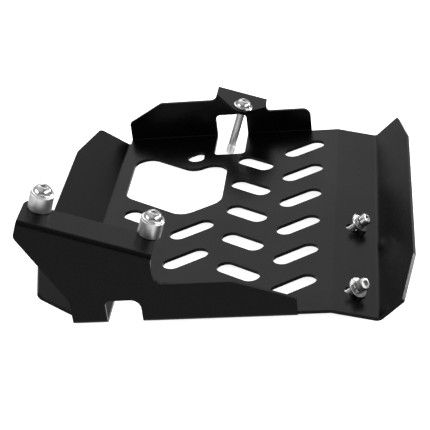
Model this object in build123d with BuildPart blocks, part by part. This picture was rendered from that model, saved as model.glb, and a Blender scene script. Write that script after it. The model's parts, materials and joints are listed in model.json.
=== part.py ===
"""Motorcycle skid plate: one folded sheet with two spacers, three bolts and two leaning screws.

Millimetres. The origin is the middle of the floor's underside. X points to the front of the machine,
Y to its left side and Z up.
"""
import os
from math import cos, radians, sin, tan

from build123d import *

# sheet, floor and the folds across the plate
SHEET = 3.0
FLOOR_LENGTH = 205.8
FLOOR_WIDTH = 316.0
CROSS_FOLD_RADIUS = 4.0
WALL_FOLD_INSIDE = 1.0
WALL_FOLD_OUTSIDE = WALL_FOLD_INSIDE + SHEET

# rear flap, rising to the rear
FLAP_RISE = 35.0
FLAP_LENGTH = 45.2
FLAP_WIDTH = 298.5
FLAP_SIDE_LENGTH = 32.0
FLAP_EDGE_WIDTH = 177.0
FLAP_CORNER = 6.0

# front panel, falling to the front, and the flange that rises from it
PANEL_FALL = 14.5
PANEL_LENGTH = 37.4
FLANGE_RISE = 41.5
FLANGE_LENGTH = 38.9
FLANGE_LEFT_LENGTH = 28.1
FLANGE_RIGHT_LENGTH = 24.7
FLANGE_EDGE_WIDTH = 211.0
FLANGE_CORNER = 1.5

# drain slots, in columns across the floor
SLOT_LENGTH = 42.3
SLOT_WIDTH = 16.5
SLOT_ANGLE = 35.3
COLUMN_PITCH = 46.5
ROW_PITCH = 48.0
FIRST_COLUMN = 71.6
TRIMMED_SLOT_LENGTH = 38.8
SHORT_SLOT_REACH = 0.45 * SLOT_WIDTH
SHORT_SLOT_CORNER = 0.3 * SLOT_WIDTH

# drain opening with two chevron edges
OPENING_REAR = -90.5
OPENING_FRONT = 0.2
OPENING_RIGHT_X = -33.4
OPENING_RIGHT_Y = 0.6
OPENING_LEFT_X = -31.4
OPENING_LEFT_Y = 87.0
OPENING_LEFT_RADIUS = 14.0
OPENING_RIGHT_RADIUS = 16.0
OPENING_CORNER = 16.5

# side walls
WALL_REAR = -FLOOR_LENGTH / 2 + 1.5
WALL_FRONT = 77.1
RIGHT_FRONT_HEIGHT = 17.2
RIGHT_STEP_HEIGHT = 35.0
RIGHT_SLOPE = 20.0
RIGHT_ARM_FRONT = -34.6
RIGHT_ARM_SHOULDER = 15.0
RIGHT_HEEL_HEIGHT = 22.0
LEFT_FRONT_HEIGHT = 25.7
LEFT_STEP_HEIGHT = 40.0
LEFT_STEP_LENGTH = 33.0
LEFT_SLOPE = 30.0
WALL_CORNER = 6.0

# windows that open the folds below the tab bolts
WINDOW_DEPTH = 41.5
LEFT_WINDOW_REAR = -15.5
LEFT_WINDOW_WIDTH = 29.7
LEFT_WINDOW_HEIGHT = 24.2
RIGHT_WINDOW_REAR = -73.4
RIGHT_WINDOW_WIDTH = 28.5
RIGHT_WINDOW_HEIGHT = 21.3
RIGHT_WINDOW_ROUND = 8.0
WINDOW_CORNER = 4.5

# tabs folded inward from the walls, falling to the front
TAB_FALL = 20.0
RIGHT_TAB_HEIGHT = 49.1
RIGHT_TAB_REAR = -139.8
RIGHT_TAB_LENGTH = 107.0
RIGHT_TAB_WIDTH = 26.0
REAR_EAR_LENGTH = 22.3
REAR_EAR_WIDTH = 33.5
FRONT_EAR_LENGTH = 15.5
FRONT_EAR_WIDTH = 37.5
LEFT_TAB_HEIGHT = 51.9
LEFT_TAB_REAR = -9.7
LEFT_TAB_LENGTH = 48.3
LEFT_TAB_SIDE = 16.7
LEFT_TAB_NOSE = 45.7
LEFT_TAB_NOSE_RADIUS = 9.0

# spacers and eight-millimetre bolts
BOLT_DIAMETER = 8.0
SHANK_RELIEF = 0.8
BOLT_SHANK_DIAMETER = BOLT_DIAMETER - SHANK_RELIEF
BOLT_TIP_CHAMFER = 0.8
TAB_HOLE_CLEARANCE = 1.0
BOLT_HOLE = BOLT_DIAMETER + TAB_HOLE_CLEARANCE
SPACER_DIAMETER = 19.2
SPACER_CLEARANCE = 0.6
SPACER_BORE = BOLT_DIAMETER + SPACER_CLEARANCE
SPACER_HEIGHT = 14.2
SPACER_CHAMFER = 0.5
REAR_BOLT_INSET = 13.1
REAR_BOLT_REACH = 23.8
FRONT_BOLT_INSET = 6.2
FRONT_BOLT_REACH = 28.0
RIGHT_BOLT_LENGTH = 35.0
RIGHT_THREAD_START = 1.5
RIGHT_BOLT_THREAD = RIGHT_BOLT_LENGTH - SPACER_HEIGHT - SHEET - RIGHT_THREAD_START
BOLT_FLANGE_DIAMETER = 18.4
BOLT_FLANGE_EDGE = 1.0
BOLT_FLANGE_THICKNESS = 1.2
HEAD_DIAMETER = 14.8
HEAD_HEIGHT = 6.4
HEAD_RIM = 0.3
HEAD_CROWN_DIAMETER = 6.6
HEAD_DOME_RADIUS = 6.0
HEAD_SOCKET = 5.0
HEAD_SOCKET_DEPTH = 2.6
LEFT_BOLT_INSET = 26.6
LEFT_BOLT_REACH = 27.6
LEFT_BOLT_LENGTH = 52.0
LEFT_BOLT_THREAD = 10.0

# six-millimetre screws that lean in wide holes of the front panel, and their washers
SCREW_DIAMETER = 6.0
SCREW_LENGTH = 16.0
SCREW_HEAD_DIAMETER = 10.0
SCREW_HEAD_HEIGHT = 6.0
SCREW_SOCKET = 5.0
SCREW_SOCKET_DEPTH = 3.0
SCREW_HOLE_CLEARANCE = 0.3
SCREW_INSET = 15.0
SCREW_REACH = 32.2
SCREW_SPACING = 99.6
SCREW_LEAN = 38.0
LEFT_SCREW_TURN = -12.0
LEFT_SCREW_LIFT = 0.7
RIGHT_SCREW_TURN = -35.0
RIGHT_SCREW_LIFT = 1.4
WASHER_CLEARANCE = 0.4
WASHER_BORE = SCREW_DIAMETER + WASHER_CLEARANCE
FLAT_WASHER_DIAMETER = 17.0
FLAT_WASHER_THICKNESS = 1.5
SPRING_WASHER_DIAMETER = 10.4
SPRING_WASHER_THICKNESS = 1.6
SPRING_WASHER_SPLIT = 1.2

HALF_LENGTH = FLOOR_LENGTH / 2
HALF_WIDTH = FLOOR_WIDTH / 2
WALL_INNER = HALF_WIDTH + WALL_FOLD_INSIDE
WALL_OUTER = HALF_WIDTH + WALL_FOLD_OUTSIDE
CUT = 4 * SHEET


def falling_plane(origin, fall):
    """Plane through a point whose X axis falls to the front by an angle in degrees."""
    angle = radians(fall)
    return Plane(origin=origin, x_dir=(cos(angle), 0, -sin(angle)), z_dir=(sin(angle), 0, cos(angle)))


def section_plane(plane, along, across):
    """Plane across another at a place on it, with X on the world's Y and Y on the other's normal."""
    return Plane(origin=plane.from_local_coords((along, across, 0)), x_dir=(0, 1, 0), z_dir=plane.x_dir)


def turned_plane(plane):
    """Plane that holds another's X axis and normal, for outlines that are revolved about the normal."""
    return Plane(origin=plane.origin, x_dir=plane.x_dir, z_dir=plane.x_dir.cross(plane.z_dir))


def below(plane, along, depth):
    """World X and Z of a place at a depth under a plane."""
    place = plane.from_local_coords((along, 0, -depth))
    return (place.X, place.Z)


def round_corner(sketch, corner, radius):
    """Round the corner of the sketch that lies nearest to a place."""
    fillet(sketch.vertices().sort_by_distance((corner[0], corner[1], 0))[0], radius=radius)


# planes of the tabs' tops, of the front panel and of its flange
right_tab = falling_plane((0, 0, RIGHT_TAB_HEIGHT), TAB_FALL)
left_tab = falling_plane((0, 0, LEFT_TAB_HEIGHT), TAB_FALL)
flap = falling_plane((-HALF_LENGTH, 0, SHEET), FLAP_RISE)
panel = falling_plane((HALF_LENGTH, 0, SHEET), PANEL_FALL)
flange = falling_plane(panel.from_local_coords((PANEL_LENGTH, 0, 0)), -FLANGE_RISE)
RIGHT_TAB_FRONT = RIGHT_TAB_REAR + RIGHT_TAB_LENGTH
LEFT_TAB_FRONT = LEFT_TAB_REAR + LEFT_TAB_LENGTH

# bolt planes, on the tops of the tabs
rear_bolt_place = right_tab.from_local_coords(
    (RIGHT_TAB_REAR + REAR_BOLT_INSET, -HALF_WIDTH + REAR_BOLT_REACH, 0))
front_bolt_place = right_tab.from_local_coords(
    (RIGHT_TAB_FRONT - FRONT_BOLT_INSET, -HALF_WIDTH + FRONT_BOLT_REACH, 0))
left_bolt_place = left_tab.from_local_coords(
    (LEFT_TAB_REAR + LEFT_BOLT_INSET, HALF_WIDTH - LEFT_BOLT_REACH, 0))
rear_bolt_plane = falling_plane(rear_bolt_place, TAB_FALL)
front_bolt_plane = falling_plane(front_bolt_place, TAB_FALL)
left_bolt_plane = falling_plane(left_bolt_place, TAB_FALL)


def leaning_plane(y, turn):
    """Plane square to a leaning screw, where its axis meets the front panel's top."""
    angle = radians(SCREW_LEAN)
    side = radians(turn)
    toward = panel.x_dir * cos(side) + Vector(0, 1, 0) * sin(side)
    axis = toward * sin(angle) + panel.z_dir * cos(angle)
    meeting = panel.from_local_coords((SCREW_INSET, y, 0)) + toward * SCREW_LEAD
    return Plane(origin=meeting, x_dir=toward * cos(angle) - panel.z_dir * sin(angle), z_dir=axis)


# a hole is as wide as its leaning screw needs, and the screw's axis passes through the hole's middle
SCREW_LEAD = SHEET / 2 * tan(radians(SCREW_LEAN))
SCREW_HOLE_RADIUS = SCREW_DIAMETER / 2 / cos(radians(SCREW_LEAN)) + SCREW_LEAD + SCREW_HOLE_CLEARANCE
RIGHT_SCREW_Y = -HALF_WIDTH + SCREW_REACH
LEFT_SCREW_Y = RIGHT_SCREW_Y + SCREW_SPACING
left_screw_plane = leaning_plane(LEFT_SCREW_Y, LEFT_SCREW_TURN)
right_screw_plane = leaning_plane(RIGHT_SCREW_Y, RIGHT_SCREW_TURN)

# heights on a screw's axis: the flat washer's lowest edge touches the panel and the rest is above it
FLAT_WASHER_SEAT = FLAT_WASHER_DIAMETER / 2 * tan(radians(SCREW_LEAN))
SPRING_WASHER_SEAT = FLAT_WASHER_SEAT + FLAT_WASHER_THICKNESS
LEFT_HEAD_SEAT = SPRING_WASHER_SEAT + SPRING_WASHER_THICKNESS + LEFT_SCREW_LIFT
RIGHT_HEAD_SEAT = SPRING_WASHER_SEAT + SPRING_WASHER_THICKNESS + RIGHT_SCREW_LIFT


with BuildPart() as skid_plate:
    # the bent strip: rear flap, floor, front panel and front flange
    with BuildSketch(Plane.XZ) as strip:
        with BuildLine():
            flap_tip = flap.from_local_coords((-FLAP_LENGTH, 0, 0))
            panel_end = flange.origin
            flange_tip = flange.from_local_coords((FLANGE_LENGTH, 0, 0))
            FilletPolyline(
                (flap_tip.X, flap_tip.Z),
                (-HALF_LENGTH, SHEET),
                (HALF_LENGTH, SHEET),
                (panel_end.X, panel_end.Z),
                (flange_tip.X, flange_tip.Z),
                radius=CROSS_FOLD_RADIUS,
            )
            offset(amount=SHEET, side=Side.RIGHT, closed=True)
        make_face()
    extrude(amount=HALF_WIDTH, both=True)

    # the flap is narrower than the floor, and its outer corners are cut off at a slant
    with BuildSketch(Plane.XY.offset(-CUT)) as flap_sides:
        for side in (1, -1):
            with Locations((WALL_REAR, side * FLAP_WIDTH / 2)):
                Rectangle(
                    2 * FLAP_LENGTH, FLOOR_WIDTH, align=(Align.MAX, Align.MIN if side > 0 else Align.MAX))
    extrude(amount=2 * CUT + FLAP_LENGTH, mode=Mode.SUBTRACT)
    for side in (1, -1):
        with BuildSketch(flap):
            with BuildLine():
                Polyline(
                    (-FLAP_SIDE_LENGTH, side * FLAP_WIDTH / 2),
                    (-FLAP_LENGTH, side * FLAP_EDGE_WIDTH / 2),
                    (-FLAP_LENGTH - CUT, side * FLAP_EDGE_WIDTH / 2),
                    (-FLAP_LENGTH - CUT, side * (FLAP_WIDTH / 2 + CUT)),
                    (-FLAP_SIDE_LENGTH, side * (FLAP_WIDTH / 2 + CUT)),
                    close=True,
                )
            make_face()
        extrude(amount=CUT, both=True, mode=Mode.SUBTRACT)
        flap_corner = flap.from_local_coords((-FLAP_SIDE_LENGTH, side * FLAP_WIDTH / 2, -SHEET / 2))
        through_flap = skid_plate.edges().filter_by(Axis(flap.origin, flap.z_dir))
        fillet(through_flap.sort_by_distance(flap_corner)[0], radius=FLAP_CORNER)

    # the flange has the same slanted corners, with ends of unequal length
    for side, length in ((1, FLANGE_LEFT_LENGTH), (-1, FLANGE_RIGHT_LENGTH)):
        with BuildSketch(flange):
            with BuildLine():
                Polyline(
                    (length, side * HALF_WIDTH),
                    (FLANGE_LENGTH, side * FLANGE_EDGE_WIDTH / 2),
                    (FLANGE_LENGTH + CUT, side * FLANGE_EDGE_WIDTH / 2),
                    (FLANGE_LENGTH + CUT, side * (HALF_WIDTH + CUT)),
                    (length, side * (HALF_WIDTH + CUT)),
                    close=True,
                )
            make_face()
        extrude(amount=CUT, both=True, mode=Mode.SUBTRACT)
        flange_corner = flange.from_local_coords((length, side * HALF_WIDTH, -SHEET / 2))
        through_flange = skid_plate.edges().filter_by(Axis(flange.origin, flange.z_dir))
        fillet(through_flange.sort_by_distance(flange_corner)[0], radius=FLANGE_CORNER)

    # drain slots: the columns lean to alternate sides and the rows step by half a pitch
    with BuildSketch(Plane.XY.offset(-CUT)) as slots:
        # beside the left window one slot is cut off straight and another loses its rear end
        short_x = FIRST_COLUMN - 2 * COLUMN_PITCH
        short_rear = short_x - (SLOT_LENGTH - SLOT_WIDTH) / 2 * cos(radians(SLOT_ANGLE))
        with Locations((short_x, 2.5 * ROW_PITCH)):
            SlotOverall(SLOT_LENGTH, SLOT_WIDTH, rotation=SLOT_ANGLE)
        with Locations((short_rear + SHORT_SLOT_REACH + SLOT_LENGTH / 2, 2.5 * ROW_PITCH)):
            Rectangle(SLOT_LENGTH, SLOT_LENGTH, mode=Mode.SUBTRACT)
        fillet(slots.vertices().group_by(Axis.X)[-1], radius=SHORT_SLOT_CORNER)
        trim = (SLOT_LENGTH - TRIMMED_SLOT_LENGTH) / 2
        trimmed_x = FIRST_COLUMN - COLUMN_PITCH + trim * cos(radians(SLOT_ANGLE))
        with Locations((trimmed_x, 2 * ROW_PITCH - trim * sin(radians(SLOT_ANGLE)))):
            SlotOverall(TRIMMED_SLOT_LENGTH, SLOT_WIDTH, rotation=-SLOT_ANGLE)
        with Locations(*[(FIRST_COLUMN, row * ROW_PITCH) for row in (-2.5, -1.5, -0.5, 0.5, 1.5, 2.5)]):
            SlotOverall(SLOT_LENGTH, SLOT_WIDTH, rotation=SLOT_ANGLE)
        with Locations(*[(FIRST_COLUMN - COLUMN_PITCH, row * ROW_PITCH) for row in (-2, -1, 0, 1)]):
            SlotOverall(SLOT_LENGTH, SLOT_WIDTH, rotation=-SLOT_ANGLE)
        with Locations(*[(FIRST_COLUMN - 2 * COLUMN_PITCH, row * ROW_PITCH) for row in (-1.5, -0.5)]):
            SlotOverall(SLOT_LENGTH, SLOT_WIDTH, rotation=SLOT_ANGLE)
        with Locations((FIRST_COLUMN - 3 * COLUMN_PITCH, 0)):
            SlotOverall(SLOT_LENGTH, SLOT_WIDTH, rotation=-SLOT_ANGLE)
    extrude(amount=2 * CUT, mode=Mode.SUBTRACT)

    # drain opening: two chevron edges with the slots' slant, joined by straight front and rear edges
    with BuildSketch(Plane.XY.offset(-CUT)) as opening:
        slant = tan(radians(SLOT_ANGLE))
        right_rear = (OPENING_REAR, OPENING_RIGHT_Y + (OPENING_RIGHT_X - OPENING_REAR) * slant)
        right_front = (OPENING_FRONT, OPENING_RIGHT_Y + (OPENING_FRONT - OPENING_RIGHT_X) * slant)
        left_rear = (OPENING_REAR, OPENING_LEFT_Y + (OPENING_LEFT_X - OPENING_REAR) * slant)
        left_front = (OPENING_FRONT, OPENING_LEFT_Y + (OPENING_FRONT - OPENING_LEFT_X) * slant)
        with BuildLine():
            Polyline(
                right_rear,
                (OPENING_RIGHT_X, OPENING_RIGHT_Y),
                right_front,
                left_front,
                (OPENING_LEFT_X, OPENING_LEFT_Y),
                left_rear,
                close=True,
            )
        make_face()
        round_corner(opening, (OPENING_RIGHT_X, OPENING_RIGHT_Y), OPENING_RIGHT_RADIUS)
        round_corner(opening, (OPENING_LEFT_X, OPENING_LEFT_Y), OPENING_LEFT_RADIUS)
        round_corner(opening, left_rear, OPENING_LEFT_RADIUS)
        round_corner(opening, left_front, OPENING_LEFT_RADIUS)
        round_corner(opening, right_rear, OPENING_CORNER)
        round_corner(opening, right_front, OPENING_CORNER)
    extrude(amount=2 * CUT, mode=Mode.SUBTRACT)

    # folds between the floor and the walls
    with BuildSketch(Plane.YZ.offset(WALL_REAR)) as wall_folds:
        for side in (1, -1):
            with Locations((side * HALF_WIDTH, WALL_FOLD_OUTSIDE)):
                Circle(WALL_FOLD_OUTSIDE)
                Circle(WALL_FOLD_INSIDE, mode=Mode.SUBTRACT)
        with Locations((0, WALL_FOLD_OUTSIDE)):
            Rectangle(FLOOR_WIDTH, CUT, mode=Mode.SUBTRACT)
            Rectangle(2 * FLOOR_WIDTH, CUT, align=(Align.CENTER, Align.MIN), mode=Mode.SUBTRACT)
    extrude(amount=WALL_FRONT - WALL_REAR)

    # right wall, with a tall rear arm below its tab
    with BuildSketch(Plane.XZ.offset(WALL_INNER)) as right_wall:
        right_step = WALL_FRONT - (RIGHT_STEP_HEIGHT - RIGHT_FRONT_HEIGHT) / tan(radians(RIGHT_SLOPE))
        right_shoulder = below(right_tab, RIGHT_TAB_REAR, RIGHT_ARM_SHOULDER)
        with BuildLine():
            Polyline(
                (WALL_REAR, WALL_FOLD_OUTSIDE),
                (WALL_FRONT, WALL_FOLD_OUTSIDE),
                (WALL_FRONT, RIGHT_FRONT_HEIGHT),
                (right_step, RIGHT_STEP_HEIGHT),
                (RIGHT_ARM_FRONT, RIGHT_STEP_HEIGHT),
                below(right_tab, RIGHT_TAB_FRONT, WALL_FOLD_OUTSIDE),
                below(right_tab, RIGHT_TAB_REAR, WALL_FOLD_OUTSIDE),
                right_shoulder,
                (WALL_REAR, RIGHT_HEEL_HEIGHT),
                close=True,
            )
        make_face()
        round_corner(right_wall, (WALL_FRONT, RIGHT_FRONT_HEIGHT), WALL_CORNER / 3)
        round_corner(right_wall, (right_step, RIGHT_STEP_HEIGHT), WALL_CORNER)
        round_corner(right_wall, (RIGHT_ARM_FRONT, RIGHT_STEP_HEIGHT), 1.5 * WALL_CORNER)
        round_corner(right_wall, right_shoulder, WALL_CORNER)
        round_corner(right_wall, (WALL_REAR, RIGHT_HEEL_HEIGHT), 2 * WALL_CORNER)
    extrude(amount=SHEET)

    # left wall, with a lower arm below its tab
    with BuildSketch(Plane.XZ.offset(-WALL_OUTER)) as left_wall:
        left_step = WALL_REAR + LEFT_STEP_LENGTH
        left_heel = LEFT_STEP_HEIGHT - LEFT_STEP_LENGTH * tan(radians(LEFT_SLOPE))
        arm_rear = below(left_tab, LEFT_TAB_REAR, WALL_FOLD_OUTSIDE)
        arm_front = below(left_tab, LEFT_TAB_FRONT, WALL_FOLD_OUTSIDE)
        arm_rise = arm_rear[1] - LEFT_STEP_HEIGHT
        arm_foot = (arm_rear[0] - arm_rise * tan(radians(TAB_FALL)), LEFT_STEP_HEIGHT)
        with BuildLine():
            Polyline(
                (WALL_REAR, WALL_FOLD_OUTSIDE),
                (WALL_FRONT, WALL_FOLD_OUTSIDE),
                (WALL_FRONT, LEFT_FRONT_HEIGHT),
                (arm_front[0], LEFT_FRONT_HEIGHT),
                arm_front,
                arm_rear,
                arm_foot,
                (left_step, LEFT_STEP_HEIGHT),
                (WALL_REAR, left_heel),
                close=True,
            )
        make_face()
        round_corner(left_wall, (WALL_FRONT, LEFT_FRONT_HEIGHT), 1.3 * WALL_CORNER)
        round_corner(left_wall, (arm_front[0], LEFT_FRONT_HEIGHT), WALL_CORNER / 2)
        round_corner(left_wall, arm_foot, WALL_CORNER)
        round_corner(left_wall, (left_step, LEFT_STEP_HEIGHT), WALL_CORNER)
        round_corner(left_wall, (WALL_REAR, left_heel), WALL_CORNER / 2)
    extrude(amount=SHEET)

    # folds between the walls and the tabs
    with BuildSketch(section_plane(right_tab, RIGHT_TAB_REAR, -HALF_WIDTH)) as right_tab_fold:
        with Locations((0, -WALL_FOLD_OUTSIDE)):
            Circle(WALL_FOLD_OUTSIDE)
            Circle(WALL_FOLD_INSIDE, mode=Mode.SUBTRACT)
            Rectangle(CUT, CUT, align=(Align.MAX, Align.MIN), mode=Mode.INTERSECT)
    extrude(amount=RIGHT_TAB_LENGTH)
    with BuildSketch(section_plane(left_tab, LEFT_TAB_REAR, HALF_WIDTH)) as left_tab_fold:
        with Locations((0, -WALL_FOLD_OUTSIDE)):
            Circle(WALL_FOLD_OUTSIDE)
            Circle(WALL_FOLD_INSIDE, mode=Mode.SUBTRACT)
            Rectangle(CUT, CUT, align=(Align.MIN, Align.MIN), mode=Mode.INTERSECT)
    extrude(amount=LEFT_TAB_LENGTH)

    # right tab, with an ear around each spacer
    with BuildSketch(right_tab) as right_tab_face:
        rear_ear_front = RIGHT_TAB_REAR + REAR_EAR_LENGTH
        front_ear_rear = RIGHT_TAB_FRONT - FRONT_EAR_LENGTH
        rear_ear_edge = -HALF_WIDTH + REAR_EAR_WIDTH
        front_ear_edge = -HALF_WIDTH + FRONT_EAR_WIDTH
        right_tab_edge = -HALF_WIDTH + RIGHT_TAB_WIDTH
        with BuildLine():
            Polyline(
                (RIGHT_TAB_REAR, -HALF_WIDTH),
                (RIGHT_TAB_REAR, rear_ear_edge),
                (rear_ear_front, rear_ear_edge),
                (rear_ear_front, right_tab_edge),
                (front_ear_rear, right_tab_edge),
                (front_ear_rear, front_ear_edge),
                (RIGHT_TAB_FRONT, front_ear_edge),
                (RIGHT_TAB_FRONT, -HALF_WIDTH),
                close=True,
            )
        make_face()
        round_corner(right_tab_face, (RIGHT_TAB_REAR, rear_ear_edge), 0.45 * REAR_EAR_LENGTH)
        round_corner(right_tab_face, (rear_ear_front, rear_ear_edge), 0.3 * REAR_EAR_LENGTH)
        round_corner(right_tab_face, (front_ear_rear, front_ear_edge), 0.4 * FRONT_EAR_LENGTH)
        round_corner(right_tab_face, (RIGHT_TAB_FRONT, front_ear_edge), 0.4 * FRONT_EAR_LENGTH)
    extrude(amount=-SHEET)

    # left tab, narrowing to a round nose
    with BuildSketch(left_tab) as left_tab_face:
        left_tab_middle = (LEFT_TAB_REAR + LEFT_TAB_FRONT) / 2
        left_nose = (left_tab_middle, HALF_WIDTH - LEFT_TAB_NOSE)
        with BuildLine():
            Polyline(
                (LEFT_TAB_REAR, HALF_WIDTH),
                (LEFT_TAB_REAR, HALF_WIDTH - LEFT_TAB_SIDE),
                left_nose,
                (LEFT_TAB_FRONT, HALF_WIDTH - LEFT_TAB_SIDE),
                (LEFT_TAB_FRONT, HALF_WIDTH),
                close=True,
            )
        make_face()
        round_corner(left_tab_face, left_nose, LEFT_TAB_NOSE_RADIUS)
    extrude(amount=-SHEET)

    # bolt holes through the tabs
    for bolt_plane in (rear_bolt_plane, front_bolt_plane, left_bolt_plane):
        with BuildSketch(bolt_plane):
            Circle(BOLT_HOLE / 2)
        extrude(amount=CUT, both=True, mode=Mode.SUBTRACT)

    # screw holes through the front panel
    with BuildSketch(panel) as screw_holes:
        with Locations((SCREW_INSET, LEFT_SCREW_Y), (SCREW_INSET, RIGHT_SCREW_Y)):
            Circle(SCREW_HOLE_RADIUS)
    extrude(amount=CUT, both=True, mode=Mode.SUBTRACT)

    # windows through the floor, the folds and the walls
    with BuildSketch(Plane.XY.offset(-CUT)) as floor_windows:
        with Locations((LEFT_WINDOW_REAR, HALF_WIDTH - WINDOW_DEPTH)):
            Rectangle(LEFT_WINDOW_WIDTH, 2 * WINDOW_DEPTH, align=(Align.MIN, Align.MIN))
        with Locations((RIGHT_WINDOW_REAR, -HALF_WIDTH + WINDOW_DEPTH)):
            Rectangle(RIGHT_WINDOW_WIDTH, 2 * WINDOW_DEPTH, align=(Align.MIN, Align.MAX))
        fillet(floor_windows.vertices(), radius=WINDOW_CORNER)
    extrude(amount=CUT + WALL_FOLD_OUTSIDE, mode=Mode.SUBTRACT)
    with BuildSketch(Plane.XZ.offset(-HALF_WIDTH - CUT)) as left_wall_window:
        with Locations((LEFT_WINDOW_REAR, LEFT_WINDOW_HEIGHT)):
            Rectangle(LEFT_WINDOW_WIDTH, 2 * LEFT_WINDOW_HEIGHT, align=(Align.MIN, Align.MAX))
        fillet(left_wall_window.vertices(), radius=WINDOW_CORNER)
    extrude(amount=CUT, mode=Mode.SUBTRACT)
    with BuildSketch(Plane.XZ.offset(HALF_WIDTH)) as right_wall_window:
        right_window_front = RIGHT_WINDOW_REAR + RIGHT_WINDOW_WIDTH
        with Locations((RIGHT_WINDOW_REAR, RIGHT_WINDOW_HEIGHT)):
            Rectangle(RIGHT_WINDOW_WIDTH, 2 * RIGHT_WINDOW_HEIGHT, align=(Align.MIN, Align.MAX))
        round_corner(right_wall_window, (RIGHT_WINDOW_REAR, RIGHT_WINDOW_HEIGHT), WINDOW_CORNER)
        round_corner(right_wall_window, (right_window_front, RIGHT_WINDOW_HEIGHT), RIGHT_WINDOW_ROUND)
    extrude(amount=CUT, mode=Mode.SUBTRACT)
skid_plate.part.label = "skid_plate"


with BuildPart() as right_rear_spacer:
    with BuildSketch(rear_bolt_plane):
        Circle(SPACER_DIAMETER / 2)
        Circle(SPACER_BORE / 2, mode=Mode.SUBTRACT)
    extrude(amount=SPACER_HEIGHT)
    rims = right_rear_spacer.edges().filter_by(GeomType.CIRCLE).group_by(SortBy.RADIUS)[-1]
    chamfer(rims, length=SPACER_CHAMFER)
right_rear_spacer.part.label = "right_rear_spacer"

with BuildPart() as right_front_spacer:
    with BuildSketch(front_bolt_plane):
        Circle(SPACER_DIAMETER / 2)
        Circle(SPACER_BORE / 2, mode=Mode.SUBTRACT)
    extrude(amount=SPACER_HEIGHT)
    rims = right_front_spacer.edges().filter_by(GeomType.CIRCLE).group_by(SortBy.RADIUS)[-1]
    chamfer(rims, length=SPACER_CHAMFER)
right_front_spacer.part.label = "right_front_spacer"


def head_dome(seat):
    """Start and end of the arc over a button head that is seated at a height on its axis."""
    dome_start = (HEAD_DIAMETER / 2, seat + BOLT_FLANGE_THICKNESS + HEAD_RIM)
    dome_end = (HEAD_CROWN_DIAMETER / 2, seat + HEAD_HEIGHT)
    return dome_start, dome_end


def bolt_outline(seat, length, thread):
    """Half outline of a flanged button-head bolt, from the end of its dome to the start of it."""
    dome_start, dome_end = head_dome(seat)
    tip = seat - length
    return [
        dome_end,
        (0, seat + HEAD_HEIGHT),
        (0, tip),
        (BOLT_DIAMETER / 2 - BOLT_TIP_CHAMFER, tip),
        (BOLT_DIAMETER / 2, tip + BOLT_TIP_CHAMFER),
        (BOLT_DIAMETER / 2, tip + thread),
        (BOLT_SHANK_DIAMETER / 2, tip + thread),
        (BOLT_SHANK_DIAMETER / 2, seat),
        (BOLT_FLANGE_DIAMETER / 2, seat),
        (BOLT_FLANGE_DIAMETER / 2, seat + BOLT_FLANGE_EDGE),
        (HEAD_DIAMETER / 2, seat + BOLT_FLANGE_THICKNESS),
        dome_start,
    ]


with BuildPart() as right_rear_bolt:
    with BuildSketch(turned_plane(rear_bolt_plane)):
        with BuildLine():
            Polyline(*bolt_outline(SPACER_HEIGHT, RIGHT_BOLT_LENGTH, RIGHT_BOLT_THREAD))
            RadiusArc(*head_dome(SPACER_HEIGHT), -HEAD_DOME_RADIUS)
        make_face()
    revolve(axis=Axis(rear_bolt_plane.origin, rear_bolt_plane.z_dir))
    with BuildSketch(rear_bolt_plane.offset(SPACER_HEIGHT + HEAD_HEIGHT)):
        RegularPolygon(HEAD_SOCKET / 2, 6, major_radius=False)
    extrude(amount=-HEAD_SOCKET_DEPTH, mode=Mode.SUBTRACT)
right_rear_bolt.part.label = "right_rear_bolt"

with BuildPart() as right_front_bolt:
    with BuildSketch(turned_plane(front_bolt_plane)):
        with BuildLine():
            Polyline(*bolt_outline(SPACER_HEIGHT, RIGHT_BOLT_LENGTH, RIGHT_BOLT_THREAD))
            RadiusArc(*head_dome(SPACER_HEIGHT), -HEAD_DOME_RADIUS)
        make_face()
    revolve(axis=Axis(front_bolt_plane.origin, front_bolt_plane.z_dir))
    with BuildSketch(front_bolt_plane.offset(SPACER_HEIGHT + HEAD_HEIGHT)):
        RegularPolygon(HEAD_SOCKET / 2, 6, major_radius=False)
    extrude(amount=-HEAD_SOCKET_DEPTH, mode=Mode.SUBTRACT)
right_front_bolt.part.label = "right_front_bolt"

with BuildPart() as left_bolt:
    with BuildSketch(turned_plane(left_bolt_plane)):
        with BuildLine():
            Polyline(*bolt_outline(0, LEFT_BOLT_LENGTH, LEFT_BOLT_THREAD))
            RadiusArc(*head_dome(0), -HEAD_DOME_RADIUS)
        make_face()
    revolve(axis=Axis(left_bolt_plane.origin, left_bolt_plane.z_dir))
    with BuildSketch(left_bolt_plane.offset(HEAD_HEIGHT)):
        RegularPolygon(HEAD_SOCKET / 2, 6, major_radius=False)
    extrude(amount=-HEAD_SOCKET_DEPTH, mode=Mode.SUBTRACT)
left_bolt.part.label = "left_bolt"

with BuildPart() as front_screw_left:
    with BuildSketch(left_screw_plane.offset(LEFT_HEAD_SEAT)):
        Circle(SCREW_HEAD_DIAMETER / 2)
    extrude(amount=SCREW_HEAD_HEIGHT)
    with BuildSketch(left_screw_plane.offset(LEFT_HEAD_SEAT)):
        Circle(SCREW_DIAMETER / 2)
    extrude(amount=-SCREW_LENGTH)
    with BuildSketch(left_screw_plane.offset(LEFT_HEAD_SEAT + SCREW_HEAD_HEIGHT)):
        RegularPolygon(SCREW_SOCKET / 2, 6, major_radius=False)
    extrude(amount=-SCREW_SOCKET_DEPTH, mode=Mode.SUBTRACT)
front_screw_left.part.label = "front_screw_left"

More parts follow.
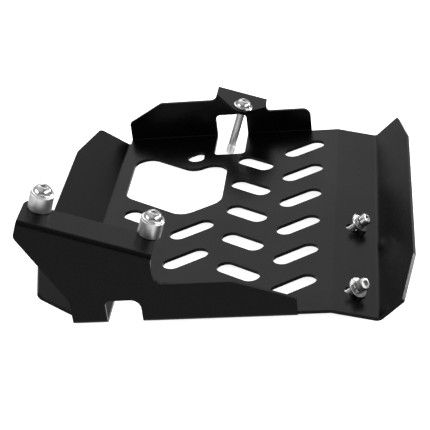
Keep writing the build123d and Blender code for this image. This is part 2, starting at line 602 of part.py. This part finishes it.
with BuildPart() as front_screw_right:
    with BuildSketch(right_screw_plane.offset(RIGHT_HEAD_SEAT)):
        Circle(SCREW_HEAD_DIAMETER / 2)
    extrude(amount=SCREW_HEAD_HEIGHT)
    with BuildSketch(right_screw_plane.offset(RIGHT_HEAD_SEAT)):
        Circle(SCREW_DIAMETER / 2)
    extrude(amount=-SCREW_LENGTH)
    with BuildSketch(right_screw_plane.offset(RIGHT_HEAD_SEAT + SCREW_HEAD_HEIGHT)):
        RegularPolygon(SCREW_SOCKET / 2, 6, major_radius=False)
    extrude(amount=-SCREW_SOCKET_DEPTH, mode=Mode.SUBTRACT)
front_screw_right.part.label = "front_screw_right"

with BuildPart() as front_flat_washer_left:
    with BuildSketch(left_screw_plane.offset(FLAT_WASHER_SEAT)):
        Circle(FLAT_WASHER_DIAMETER / 2)
        Circle(WASHER_BORE / 2, mode=Mode.SUBTRACT)
    extrude(amount=FLAT_WASHER_THICKNESS)
front_flat_washer_left.part.label = "front_flat_washer_left"

with BuildPart() as front_flat_washer_right:
    with BuildSketch(right_screw_plane.offset(FLAT_WASHER_SEAT)):
        Circle(FLAT_WASHER_DIAMETER / 2)
        Circle(WASHER_BORE / 2, mode=Mode.SUBTRACT)
    extrude(amount=FLAT_WASHER_THICKNESS)
front_flat_washer_right.part.label = "front_flat_washer_right"

with BuildPart() as front_spring_washer_left:
    with BuildSketch(left_screw_plane.offset(SPRING_WASHER_SEAT)):
        Circle(SPRING_WASHER_DIAMETER / 2)
        Circle(WASHER_BORE / 2, mode=Mode.SUBTRACT)
        Rectangle(
            SPRING_WASHER_SPLIT,
            SPRING_WASHER_DIAMETER,
            align=(Align.CENTER, Align.MAX),
            mode=Mode.SUBTRACT,
        )
    extrude(amount=SPRING_WASHER_THICKNESS)
front_spring_washer_left.part.label = "front_spring_washer_left"

with BuildPart() as front_spring_washer_right:
    with BuildSketch(right_screw_plane.offset(SPRING_WASHER_SEAT)):
        Circle(SPRING_WASHER_DIAMETER / 2)
        Circle(WASHER_BORE / 2, mode=Mode.SUBTRACT)
        Rectangle(
            SPRING_WASHER_SPLIT,
            SPRING_WASHER_DIAMETER,
            align=(Align.CENTER, Align.MAX),
            mode=Mode.SUBTRACT,
        )
    extrude(amount=SPRING_WASHER_THICKNESS)
front_spring_washer_right.part.label = "front_spring_washer_right"


os.makedirs("parts", exist_ok=True)
export_step(skid_plate.part, "parts/skid_plate.step")
export_step(right_rear_spacer.part, "parts/right_rear_spacer.step")
export_step(right_front_spacer.part, "parts/right_front_spacer.step")
export_step(right_rear_bolt.part, "parts/right_rear_bolt.step")
export_step(right_front_bolt.part, "parts/right_front_bolt.step")
export_step(left_bolt.part, "parts/left_bolt.step")
export_step(front_screw_left.part, "parts/front_screw_left.step")
export_step(front_screw_right.part, "parts/front_screw_right.step")
export_step(front_flat_washer_left.part, "parts/front_flat_washer_left.step")
export_step(front_flat_washer_right.part, "parts/front_flat_washer_right.step")
export_step(front_spring_washer_left.part, "parts/front_spring_washer_left.step")
export_step(front_spring_washer_right.part, "parts/front_spring_washer_right.step")
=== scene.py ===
"""Looks of the motorcycle skid plate: satin black coat, bright steel, pale floor, studio light. Metres."""
import json
import math

import bmesh
import bpy
import numpy as np
from mathutils import Matrix, Vector


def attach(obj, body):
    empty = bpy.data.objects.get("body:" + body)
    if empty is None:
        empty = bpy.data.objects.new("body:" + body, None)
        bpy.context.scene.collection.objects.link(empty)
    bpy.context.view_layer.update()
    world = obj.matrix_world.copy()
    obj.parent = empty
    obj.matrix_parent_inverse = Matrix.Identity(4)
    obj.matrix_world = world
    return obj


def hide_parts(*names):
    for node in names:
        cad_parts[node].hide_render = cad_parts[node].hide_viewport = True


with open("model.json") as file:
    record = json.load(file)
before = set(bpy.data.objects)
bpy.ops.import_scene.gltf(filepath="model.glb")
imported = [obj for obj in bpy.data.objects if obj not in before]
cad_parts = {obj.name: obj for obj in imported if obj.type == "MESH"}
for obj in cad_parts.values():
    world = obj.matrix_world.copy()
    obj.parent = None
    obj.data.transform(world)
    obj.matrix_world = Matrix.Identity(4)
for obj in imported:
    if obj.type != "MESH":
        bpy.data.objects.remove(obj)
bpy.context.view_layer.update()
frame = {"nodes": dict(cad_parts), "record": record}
nodes = frame["nodes"]
mounts = {mount["name"]: mount for mount in frame["record"]["mounts"]}

MM_PER_METRE = 1000

# camera of the photograph, in the part's frame
CAMERA_PLACE = Vector((0.1615, -1.0435, 0.5943))
CAMERA_FORWARD = Vector((-0.1361, 0.8618, -0.4886))
CAMERA_RIGHT = Vector((0.9896, 0.0952, -0.1079))
CAMERA_LENS = 114.5
CAMERA_SENSOR = 36.0

# rounding of the cut edges
SHEET_EDGE = 0.00035
WASHER_EDGE = 0.00018
SPACER_EDGE = 0.00025
EDGE_ANGLE = math.radians(32)
EDGE_SEGMENTS = 2
WELD_GAP = 1e-6
FACE_WEIGHT = 100

# steps round and along the turned pieces, and the angle above which their edges stay sharp
ROUND_STEPS = 72
DOME_STEPS = 10
THREAD_STEPS = 10
SHARP_ANGLE = math.radians(28)

# threads: depth as a share of the pitch, slope of the flanks, flat on the crests, start and end of the run
THREAD_DEPTH = 0.5978
THREAD_FLANK = 2.3
THREAD_CREST = 0.12
THREAD_START = 0.0004
THREAD_RUNOUT = 0.0005
TIP_CHAMFER = 0.0008

# hexagon sockets, as shares of the size across flats: lip, depth of the lip, coned bottom and its point
SOCKET_LIP = 1.1
SOCKET_LIP_DEPTH = 0.06
SOCKET_CONE = 0.12
SOCKET_POINT = 0.05

# bolts with a flange under a round head
BOLT_SHANK_RADIUS = 0.0036
BOLT_THREAD_RADIUS = 0.004
BOLT_PITCH = 0.00125
BOLT_SOCKET = 0.005
BOLT_SOCKET_DEPTH = 0.0026
BOLT_HEAD_HEIGHT = 0.0064
BOLT_HEAD_RADIUS = 0.0074
BOLT_HEAD_RIM = 0.0003
BOLT_HEAD_MARGIN = 0.0005
DOME_RADIUS = 0.006
CROWN_RADIUS = 0.0033
CROWN_ROUND = 0.0003
CROWN_DROP = 0.000045
CROWN_INSET = 0.00003
FLANGE_EDGE = 0.001
FLANGE_THICKNESS = 0.0012
FLANGE_SOFT = 0.0003

# screws with a knurled head, whose lower and upper edges are cut back a little
SCREW_RADIUS = 0.003
SCREW_NECK = 0.00297
SCREW_PITCH = 0.001
SCREW_SOCKET = 0.005
SCREW_SOCKET_DEPTH = 0.003
SCREW_HEAD_HEIGHT = 0.006
KNURLS = 36
KNURL_DEPTH = 0.00016
LOW_EDGE_HEIGHT = 0.0005
LOW_EDGE_INSET = 0.0006
KNURL_END = 0.0009
TOP_EDGE_HEIGHT = 0.0003
SHOULDER_INSET = 0.0004
TOP_INSET = 0.001

# noises, as scale, detail and roughness
GRAIN = (1000, 4, 0.55)
PEEL = (330, 2, 0.55)
SPECKS = (820, 2, 0.7)
COAT_CLOUDS = (14, 3, 0.55)
STEEL_BLOOM = (190, 3, 0.55)
TURNED_BLOOM = (160, 3, 0.55)
CHROME_MARKS = (900, 3, 0.65)
ZINC_MARKS = (1300, 3, 0.65)
TURNED_RINGS = (1, 3, 0.6)
FLOOR_CLOUDS = (3, 2, 0.55)

# part of a noise's range that is spread over a range of roughness
CLOUD_RANGE = (0.3, 0.7)
MARK_RANGE = (0.35, 0.65)

# reliefs, as strength and distance
PEEL_RELIEF = (0.10, 0.0004)
GRAIN_RELIEF = (0.20, 0.00016)
STEEL_RELIEF = (0.05, 0.00005)
TURNED_RELIEF = (0.10, 0.00004)

# greys at two values of a noise, ranges of roughness, and the coat's reflectance
COAT_GREYS = ((0.45, (0.0008, 0.0008, 0.0009)), (0.78, (0.004, 0.004, 0.0041)))
COAT_ROUGHNESS = (0.24, 0.31)
COAT_SPECULAR = 0.092
CHROME_GREYS = ((0.36, (0.50, 0.50, 0.505)), (0.58, (0.58, 0.58, 0.585)))
CHROME_ROUGHNESS = (0.15, 0.23)
ZINC_GREYS = ((0.36, (0.40, 0.40, 0.395)), (0.58, (0.54, 0.54, 0.535)))
ZINC_ROUGHNESS = (0.26, 0.36)
TURNED_GREYS = ((0.36, (0.72, 0.72, 0.725)), (0.60, (0.82, 0.82, 0.825)))
TURNED_ROUGHNESS = (0.34, 0.44)

# slope of the tabs, and the scale of the tool rings across and along the axis of what is turned
TAB_FALL = math.radians(20)
RING_STRETCH = (60, 60, 2600)

# floor, which touches the part's lowest points
FLOOR_REACH = 6.0
FLOOR_CLEARANCE = 0.0002
FLOOR_GREYS = ((0.3, (0.90, 0.90, 0.90)), (0.7, (0.93, 0.93, 0.93)))
FLOOR_ROUGHNESS = 0.9
FLOOR_SPECULAR = 0.1
FLOOR_GLOW = 0.9
UNDERSIDE_LEVEL = 0.0001

# greys of the studio
STUDIO_STRENGTH = 2.0
WHITE = (1.0, 1.0, 1.0)
BLACK = (0.0, 0.0, 0.0)
SWEEP = (0.65, 0.65, 0.652)
HORIZON = (0.25, 0.25, 0.252)
CEILING = (0.38, 0.38, 0.382)
TABLE = (0.62, 0.62, 0.625)
ROOM = (0.12, 0.12, 0.122)
RIGHT_SHADE = (0.35, 0.35, 0.35)
LEFT_SHADE = (0.45, 0.45, 0.45)

# where they are: heights go from 0 straight down to 1 straight up, places across from 0 left to 1 right
BACKDROP_HEIGHTS = (
    (0.26, SWEEP),
    (0.38, HORIZON),
    (0.665, HORIZON),
    (0.755, WHITE),
    (0.87, WHITE),
    (0.96, CEILING),
)
BESIDE_HEIGHTS = ((0.665, HORIZON), (0.96, CEILING))
ROOM_HEIGHTS = ((0.42, TABLE), (0.56, ROOM), (0.78, ROOM), (0.93, CEILING))
BACKDROP_ENDS = ((0.20, WHITE), (0.34, BLACK), (0.67, BLACK), (0.82, WHITE))
ROOM_SHADES = ((0.03, LEFT_SHADE), (0.14, WHITE), (0.58, WHITE), (0.78, RIGHT_SHADE))
ROOM_TO_BACKDROP = (0.0, 0.5)

# soft lights aimed at the part: name, place, width and height, and power
SOFTBOXES = (
    ("left_softbox", (-1.10, -0.44, 0.60), (1.1, 0.6), 7),
    ("right_softbox", (1.10, -0.46, 0.60), (1.4, 0.7), 10),
    ("rim_softbox", (1.10, 0.71, 0.27), (0.4, 0.3), 10),
)


def new_material(name):
    """Material with a principled shader, as the material, its node tree, its coordinates and that shader."""
    material = bpy.data.materials.new(name)
    material.use_nodes = True
    tree = material.node_tree
    place = tree.nodes.new("ShaderNodeTexCoord").outputs["Object"]
    return material, tree, place, tree.nodes["Principled BSDF"]


def noise(tree, place, texture):
    """Noise at a place, from its scale, detail and roughness."""
    node = tree.nodes.new("ShaderNodeTexNoise")
    for name, value in zip(("Scale", "Detail", "Roughness"), texture):
        node.inputs[name].default_value = value
    tree.links.new(place, node.inputs["Vector"])
    return node.outputs["Fac"]


def spread(tree, value, source, target):
    """Value moved from one range to another, clamped."""
    node = tree.nodes.new("ShaderNodeMapRange")
    for name, limit in zip(("From Min", "From Max", "To Min", "To Max"), (*source, *target)):
        node.inputs[name].default_value = limit
    tree.links.new(value, node.inputs["Value"])
    return node.outputs["Result"]


def bump(tree, height, relief, before=None):
    """Bump from a height, with its strength and distance, on top of an earlier one."""
    node = tree.nodes.new("ShaderNodeBump")
    for name, value in zip(("Strength", "Distance"), relief):
        node.inputs[name].default_value = value
    tree.links.new(height, node.inputs["Height"])
    if before is not None:
        tree.links.new(before, node.inputs["Normal"])
    return node.outputs["Normal"]


def ramp(tree, value, stops):
    """Colour that goes from stop to stop as a value rises; a stop is a value and a grey."""
    node = tree.nodes.new("ShaderNodeValToRGB")
    elements = node.color_ramp.elements
    for index in (0, -1):
        position, grey = stops[index]
        elements[index].position = position
        elements[index].color = (*grey, 1)
    for position, grey in stops[1:-1]:
        elements.new(position).color = (*grey, 1)
    tree.links.new(value, node.inputs["Fac"])
    return node.outputs["Color"]


def mixed(tree, kind, factor, first, second):
    """Two colours blended by a factor, or fully where there is none."""
    node = tree.nodes.new("ShaderNodeMix")
    node.data_type = "RGBA"
    node.blend_type = kind
    node.inputs["Factor"].default_value = 1
    if factor is not None:
        tree.links.new(factor, node.inputs["Factor"])
    tree.links.new(first, node.inputs["A"])
    tree.links.new(second, node.inputs["B"])
    return node.outputs["Result"]


def coat_material():
    """Satin black powder coat: fine grain, faint orange peel and a few lighter specks."""
    material, tree, place, shader = new_material("black_coat")
    specks = noise(tree, place, SPECKS)
    clouds = noise(tree, place, COAT_CLOUDS)
    peel = bump(tree, noise(tree, place, PEEL), PEEL_RELIEF)
    grain = bump(tree, noise(tree, place, GRAIN), GRAIN_RELIEF, peel)
    tree.links.new(ramp(tree, specks, COAT_GREYS), shader.inputs["Base Color"])
    tree.links.new(spread(tree, clouds, CLOUD_RANGE, COAT_ROUGHNESS), shader.inputs["Roughness"])
    tree.links.new(grain, shader.inputs["Normal"])
    shader.inputs["Specular IOR Level"].default_value = COAT_SPECULAR
    return material


def finish_metal(tree, shader, bloom, greys, marks, roughness, relief):
    """Metal whose grey follows a bloom, and whose roughness and relief follow its marks."""
    tree.links.new(ramp(tree, bloom, greys), shader.inputs["Base Color"])
    tree.links.new(spread(tree, marks, MARK_RANGE, roughness), shader.inputs["Roughness"])
    tree.links.new(bump(tree, marks, relief), shader.inputs["Normal"])
    shader.inputs["Metallic"].default_value = 1.0


def steel_material(name, greys, marks, roughness):
    """Bright steel with faint marks and a duller bloom in places."""
    material, tree, place, shader = new_material(name)
    bloom = noise(tree, place, STEEL_BLOOM)
    scratches = noise(tree, place, marks)
    finish_metal(tree, shader, bloom, greys, scratches, roughness, STEEL_RELIEF)
    return material


def turned_material():
    """Satin turned steel: fine tool rings round the tabs' bolt axis, with a faint bloom."""
    material, tree, place, shader = new_material("turned_steel")
    square = tree.nodes.new("ShaderNodeMapping")
    square.inputs["Rotation"].default_value = (0, -TAB_FALL, 0)
    tree.links.new(place, square.inputs["Vector"])
    stretch = tree.nodes.new("ShaderNodeMapping")
    stretch.inputs["Scale"].default_value = RING_STRETCH
    tree.links.new(square.outputs["Vector"], stretch.inputs["Vector"])
    rings = noise(tree, stretch.outputs["Vector"], TURNED_RINGS)
    bloom = noise(tree, place, TURNED_BLOOM)
    finish_metal(tree, shader, bloom, TURNED_GREYS, rings, TURNED_ROUGHNESS, TURNED_RELIEF)
    return material


black_coat = coat_material()
turned_steel = turned_material()
chrome_steel = steel_material("chrome_steel", CHROME_GREYS, CHROME_MARKS, CHROME_ROUGHNESS)
zinc_steel = steel_material("zinc_steel", ZINC_GREYS, ZINC_MARKS, ZINC_ROUGHNESS)


def dress(node, material, edge):
    """Give a solid its material and small rounds on its cut edges."""
    thing = nodes[node]
    thing.data.materials.clear()
    thing.data.materials.append(material)
    weld = thing.modifiers.new("weld", "WELD")
    weld.merge_threshold = WELD_GAP
    rounds = thing.modifiers.new("rounds", "BEVEL")
    rounds.width = edge
    rounds.segments = EDGE_SEGMENTS
    rounds.limit_method = "ANGLE"
    rounds.angle_limit = EDGE_ANGLE
    smooth = thing.modifiers.new("smooth", "WEIGHTED_NORMAL")
    smooth.weight = FACE_WEIGHT
    smooth.keep_sharp = True


dress("skid_plate", black_coat, SHEET_EDGE)
for side in ("rear", "front"):
    dress(f"right_{side}_spacer", turned_steel, SPACER_EDGE)
for side in ("left", "right"):
    dress(f"front_flat_washer_{side}", zinc_steel, WASHER_EDGE)
    dress(f"front_spring_washer_{side}", zinc_steel, WASHER_EDGE)


def axis_of(node):
    """Tip, head end and largest radius of a bolt or screw, read from its solid.

    The ends' faces share one direction and the sides' faces spread evenly round it, so that direction
    stands out among the three main directions of the face normals.
    """
    mesh = nodes[node].data
    places = np.array([vertex.co for vertex in mesh.vertices])
    normals = np.array([face.normal for face in mesh.polygons])
    areas = np.array([face.area for face in mesh.polygons])
    values, directions = np.linalg.eigh((normals * areas[:, None]).T @ normals)
    odd = 0 if abs(values[1] - values[0]) > abs(values[2] - values[1]) else 2
    along = Vector(directions[:, odd]).normalized()
    across = along.orthogonal().normalized()
    beside = along.cross(across)
    spans = [places @ np.array(direction) for direction in (along, across, beside)]
    middles = [(span.min() + span.max()) / 2 for span in spans]
    widest = np.hypot(spans[1] - middles[1], spans[2] - middles[2])
    if spans[0][widest.argmax()] < middles[0]:
        along = -along
        spans[0] = -spans[0]
    line = across * middles[1] + beside * middles[2]
    return line + along * spans[0].min(), line + along * spans[0].max(), float(widest.max())


def ring_mesh(name, rings, tip, head_end):
    """Closed mesh through a stack of rings about an axis, from the tip to the head end.

    A ring is a height and a radius, or a height and a function of the angle that gives the radius.
    """
    up = (head_end - tip).normalized()
    turn = up.to_track_quat("Z", "Y").to_matrix()
    mesh = bmesh.new()
    loops = []
    for height, radius in rings:
        loop = []
        for step in range(ROUND_STEPS):
            angle = 2 * math.pi * step / ROUND_STEPS
            reach = radius(angle) if callable(radius) else radius
            spot = Vector((reach * math.cos(angle), reach * math.sin(angle), height))
            loop.append(mesh.verts.new(tip + turn @ spot))
        loops.append(loop)
    for lower, upper in zip(loops, loops[1:]):
        for step in range(ROUND_STEPS):
            after = (step + 1) % ROUND_STEPS
            mesh.faces.new((lower[step], lower[after], upper[after], upper[step]))
    mesh.faces.new(list(reversed(loops[0])))
    mesh.faces.new(loops[-1])
    bmesh.ops.recalc_face_normals(mesh, faces=mesh.faces)
    data = bpy.data.meshes.new(name)
    mesh.to_mesh(data)
    mesh.free()
    data.polygons.foreach_set("use_smooth", [True] * len(data.polygons))
    data.set_sharp_from_angle(angle=SHARP_ANGLE)
    thing = bpy.data.objects.new(name, data)
    bpy.context.scene.collection.objects.link(thing)
    return thing


def hexagon(across_flats):
    """Radius of a hexagon's edge as a function of the angle."""
    sector = math.pi / 3

    def radius(angle):
        return across_flats / 2 / math.cos(angle % sector - sector / 2)
    return radius


def thread_rings(end, radius, pitch):
    """Rings of a screw thread: each is a slice whose radius follows the helix round the shank."""
    depth = THREAD_DEPTH * pitch
    run = end - THREAD_START
    count = int(run / pitch * THREAD_STEPS)
    rings = []
    for index in range(count + 1):
        height = THREAD_START + run * index / count
        fade = min(1.0, (height - THREAD_START) / pitch, (end - height) / pitch)

        def reach(angle, height=height, fade=fade):
            phase = (height / pitch - angle / (2 * math.pi)) % 1.0
            groove = max(0.0, min(1.0, THREAD_FLANK * abs(phase - 0.5) - THREAD_CREST))
            return radius - depth * max(groove, 1 - fade)
        rings.append((height, reach))
    return rings


def shank_rings(radius, pitch, thread):
    """Rings of a shank's threaded end, from its chamfered tip."""
    return [(0.0, radius - TIP_CHAMFER)] + thread_rings(thread, radius, pitch)


def socket_rings(top, across_flats, depth):
    """Rings of a hexagon socket, from its mouth down to its coned bottom."""
    edge = hexagon(across_flats)
    lip = hexagon(across_flats * SOCKET_LIP)
    return [
        (top, lip),
        (top - across_flats * SOCKET_LIP_DEPTH, edge),
        (top - depth, edge),
        (top - depth - across_flats * SOCKET_CONE, across_flats * SOCKET_POINT),
    ]


def flange_rings(seat, radius):
    """Rings of the thin flange under a button head, nearly flat on top, with soft edges."""
    return [
        (seat, radius - FLANGE_SOFT),
        (seat + FLANGE_SOFT, radius),
        (seat + FLANGE_EDGE - FLANGE_SOFT, radius),
        (seat + FLANGE_EDGE, radius - FLANGE_SOFT),
        (seat + FLANGE_THICKNESS, BOLT_HEAD_RADIUS + FLANGE_SOFT),
    ]


def dome_rings(seat):
    """Rings of a button head above its flange: a low rim, a round dome and a small crown."""
    low = Vector((BOLT_HEAD_RADIUS, seat + FLANGE_THICKNESS + BOLT_HEAD_RIM))
    high = Vector((CROWN_RADIUS, seat + BOLT_HEAD_HEIGHT))
    chord = high - low
    inward = Vector((-chord.y, chord.x)).normalized()
    middle = (low + high) / 2 + inward * math.sqrt(DOME_RADIUS**2 - chord.length_squared / 4)
    first = math.atan2(low.y - middle.y, low.x - middle.x)
    last = math.atan2(high.y - middle.y, high.x - middle.x)
    rings = [(low.y, low.x)]
    for index in range(1, DOME_STEPS):
        swing = first + (last - first) * index / DOME_STEPS
        rings.append((middle.y + DOME_RADIUS * math.sin(swing), middle.x + DOME_RADIUS * math.cos(swing)))
    rings.append((high.y - CROWN_DROP, high.x - CROWN_INSET))
    rings.append((high.y, high.x - CROWN_ROUND))
    return rings


def button_bolt(node):
    """Flanged button-head bolt, polished above and satin below its seat, in place of its plain solid."""
    tip, head_end, flange_radius = axis_of(node)
    length = (head_end - tip).length - BOLT_HEAD_HEIGHT
    thread = mounts[node + "_end"]["dims"]["length_mm"] / MM_PER_METRE + TIP_CHAMFER
    rings = shank_rings(BOLT_THREAD_RADIUS, BOLT_PITCH, thread)
    rings += [(thread + THREAD_RUNOUT, BOLT_SHANK_RADIUS), (length, BOLT_SHANK_RADIUS)]
    rings += flange_rings(length, flange_radius)
    rings += dome_rings(length)
    rings += socket_rings(length + BOLT_HEAD_HEIGHT, BOLT_SOCKET, BOLT_SOCKET_DEPTH)
    bolt = ring_mesh(node + "_turned", rings, tip, head_end)
    bolt.data.materials.append(chrome_steel)
    bolt.data.materials.append(turned_steel)
    up = (head_end - tip).normalized()
    for face in bolt.data.polygons:
        face.material_index = int((face.center - tip).dot(up) < length - BOLT_HEAD_MARGIN)
    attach(bolt, "root")
    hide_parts(node)


def cap_screw(node):
    """Socket-head screw with a knurled head and a full thread, in place of its plain solid."""
    tip, head_end, widest = axis_of(node)
    length = (head_end - tip).length - SCREW_HEAD_HEIGHT
    top = length + SCREW_HEAD_HEIGHT

    def knurled(angle):
        return widest - KNURL_DEPTH * (1 + math.cos(KNURLS * angle)) / 2
    rings = shank_rings(SCREW_RADIUS, SCREW_PITCH, length)
    rings += [
        (length, SCREW_NECK),
        (length, widest - LOW_EDGE_INSET),
        (length + LOW_EDGE_HEIGHT, knurled),
        (top - KNURL_END, knurled),
        (top - TOP_EDGE_HEIGHT, widest - SHOULDER_INSET),
        (top, widest - TOP_INSET),
    ]
    rings += socket_rings(top, SCREW_SOCKET, SCREW_SOCKET_DEPTH)
    screw = ring_mesh(node + "_turned", rings, tip, head_end)
    screw.data.materials.append(zinc_steel)
    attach(screw, "root")
    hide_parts(node)


for bolt_node in ("right_rear_bolt", "right_front_bolt", "left_bolt"):
    button_bolt(bolt_node)
for screw_node in ("front_screw_left", "front_screw_right"):
    cap_screw(screw_node)


def floor_material():
    """Pale matt floor with a faint cloud."""
    material, tree, place, shader = new_material("pale_floor")
    tree.links.new(ramp(tree, noise(tree, place, FLOOR_CLOUDS), FLOOR_GREYS), shader.inputs["Base Color"])
    shader.inputs["Roughness"].default_value = FLOOR_ROUGHNESS
    shader.inputs["Specular IOR Level"].default_value = FLOOR_SPECULAR
    shader.inputs["Emission Color"].default_value = (*WHITE, 1)
    shader.inputs["Emission Strength"].default_value = FLOOR_GLOW
    return material


def make_floor():
    """Plain floor that touches the front fold's lowest line and the rear end of the plate's floor."""
    corners = [vertex.co for vertex in nodes["skid_plate"].data.vertices]
    front = min(corners, key=lambda corner: corner.z)
    underside = [corner for corner in corners if corner.x < front.x and corner.z < UNDERSIDE_LEVEL]
    rear = min(underside, key=lambda corner: corner.x)
    reach = FLOOR_REACH
    data = bpy.data.meshes.new("floor")
    data.from_pydata([(-reach, -reach, 0), (reach, -reach, 0), (reach, reach, 0), (-reach, reach, 0)],
                     [], [(0, 1, 2, 3)])
    floor = bpy.data.objects.new("floor", data)
    bpy.context.scene.collection.objects.link(floor)
    floor.rotation_euler = (0, math.atan2(rear.z - front.z, front.x - rear.x), 0)
    floor.location = (front.x, 0, front.z - FLOOR_CLEARANCE)
    floor.data.materials.append(floor_material())
    floor.visible_glossy = False


def make_world():
    """Studio surroundings: a white backdrop behind, a grey ceiling and a dim room at the camera's side."""
    world = bpy.data.worlds.new("studio")
    bpy.context.scene.world = world
    world.use_nodes = True
    tree = world.node_tree
    parts = tree.nodes.new("ShaderNodeSeparateXYZ")
    tree.links.new(tree.nodes.new("ShaderNodeTexCoord").outputs["Generated"], parts.inputs[0])
    rise = spread(tree, parts.outputs["Z"], (-1, 1), (0, 1))
    across = spread(tree, parts.outputs["X"], (-1, 1), (0, 1))
    behind = spread(tree, parts.outputs["Y"], ROOM_TO_BACKDROP, (0, 1))
    ends = ramp(tree, across, BACKDROP_ENDS)
    backdrop = ramp(tree, rise, BACKDROP_HEIGHTS)
    beside = ramp(tree, rise, BESIDE_HEIGHTS)
    backdrop = mixed(tree, "MIX", ends, backdrop, beside)
    shade = ramp(tree, across, ROOM_SHADES)
    room = mixed(tree, "MULTIPLY", None, ramp(tree, rise, ROOM_HEIGHTS), shade)
    background = tree.nodes["Background"]
    tree.links.new(mixed(tree, "MIX", behind, room, backdrop), background.inputs["Color"])
    background.inputs["Strength"].default_value = STUDIO_STRENGTH


def make_light(name, place, size, power):
    """Soft rectangular light aimed at the part's origin."""
    data = bpy.data.lights.new(name, "AREA")
    data.shape = "RECTANGLE"
    data.size, data.size_y = size
    data.energy = power
    light = bpy.data.objects.new(name, data)
    bpy.context.scene.collection.objects.link(light)
    light.location = place
    light.visible_camera = False
    light.rotation_euler = (-Vector(place)).to_track_quat("-Z", "Y").to_euler()


def make_camera():
    """Camera at the photograph's viewing angle."""
    data = bpy.data.cameras.new("camera")
    data.lens = CAMERA_LENS
    data.sensor_width = CAMERA_SENSOR
    camera = bpy.data.objects.new("camera", data)
    bpy.context.scene.collection.objects.link(camera)
    back = -CAMERA_FORWARD.normalized()
    right = (CAMERA_RIGHT - back * CAMERA_RIGHT.dot(back)).normalized()
    turn = Matrix((right, back.cross(right), back)).transposed().to_4x4()
    camera.matrix_world = Matrix.Translation(CAMERA_PLACE) @ turn
    bpy.context.scene.camera = camera


make_floor()
make_world()
for softbox in SOFTBOXES:
    make_light(*softbox)
make_camera()
bpy.context.scene.view_settings.view_transform = "Standard"
bpy.context.scene.view_settings.look = "None"
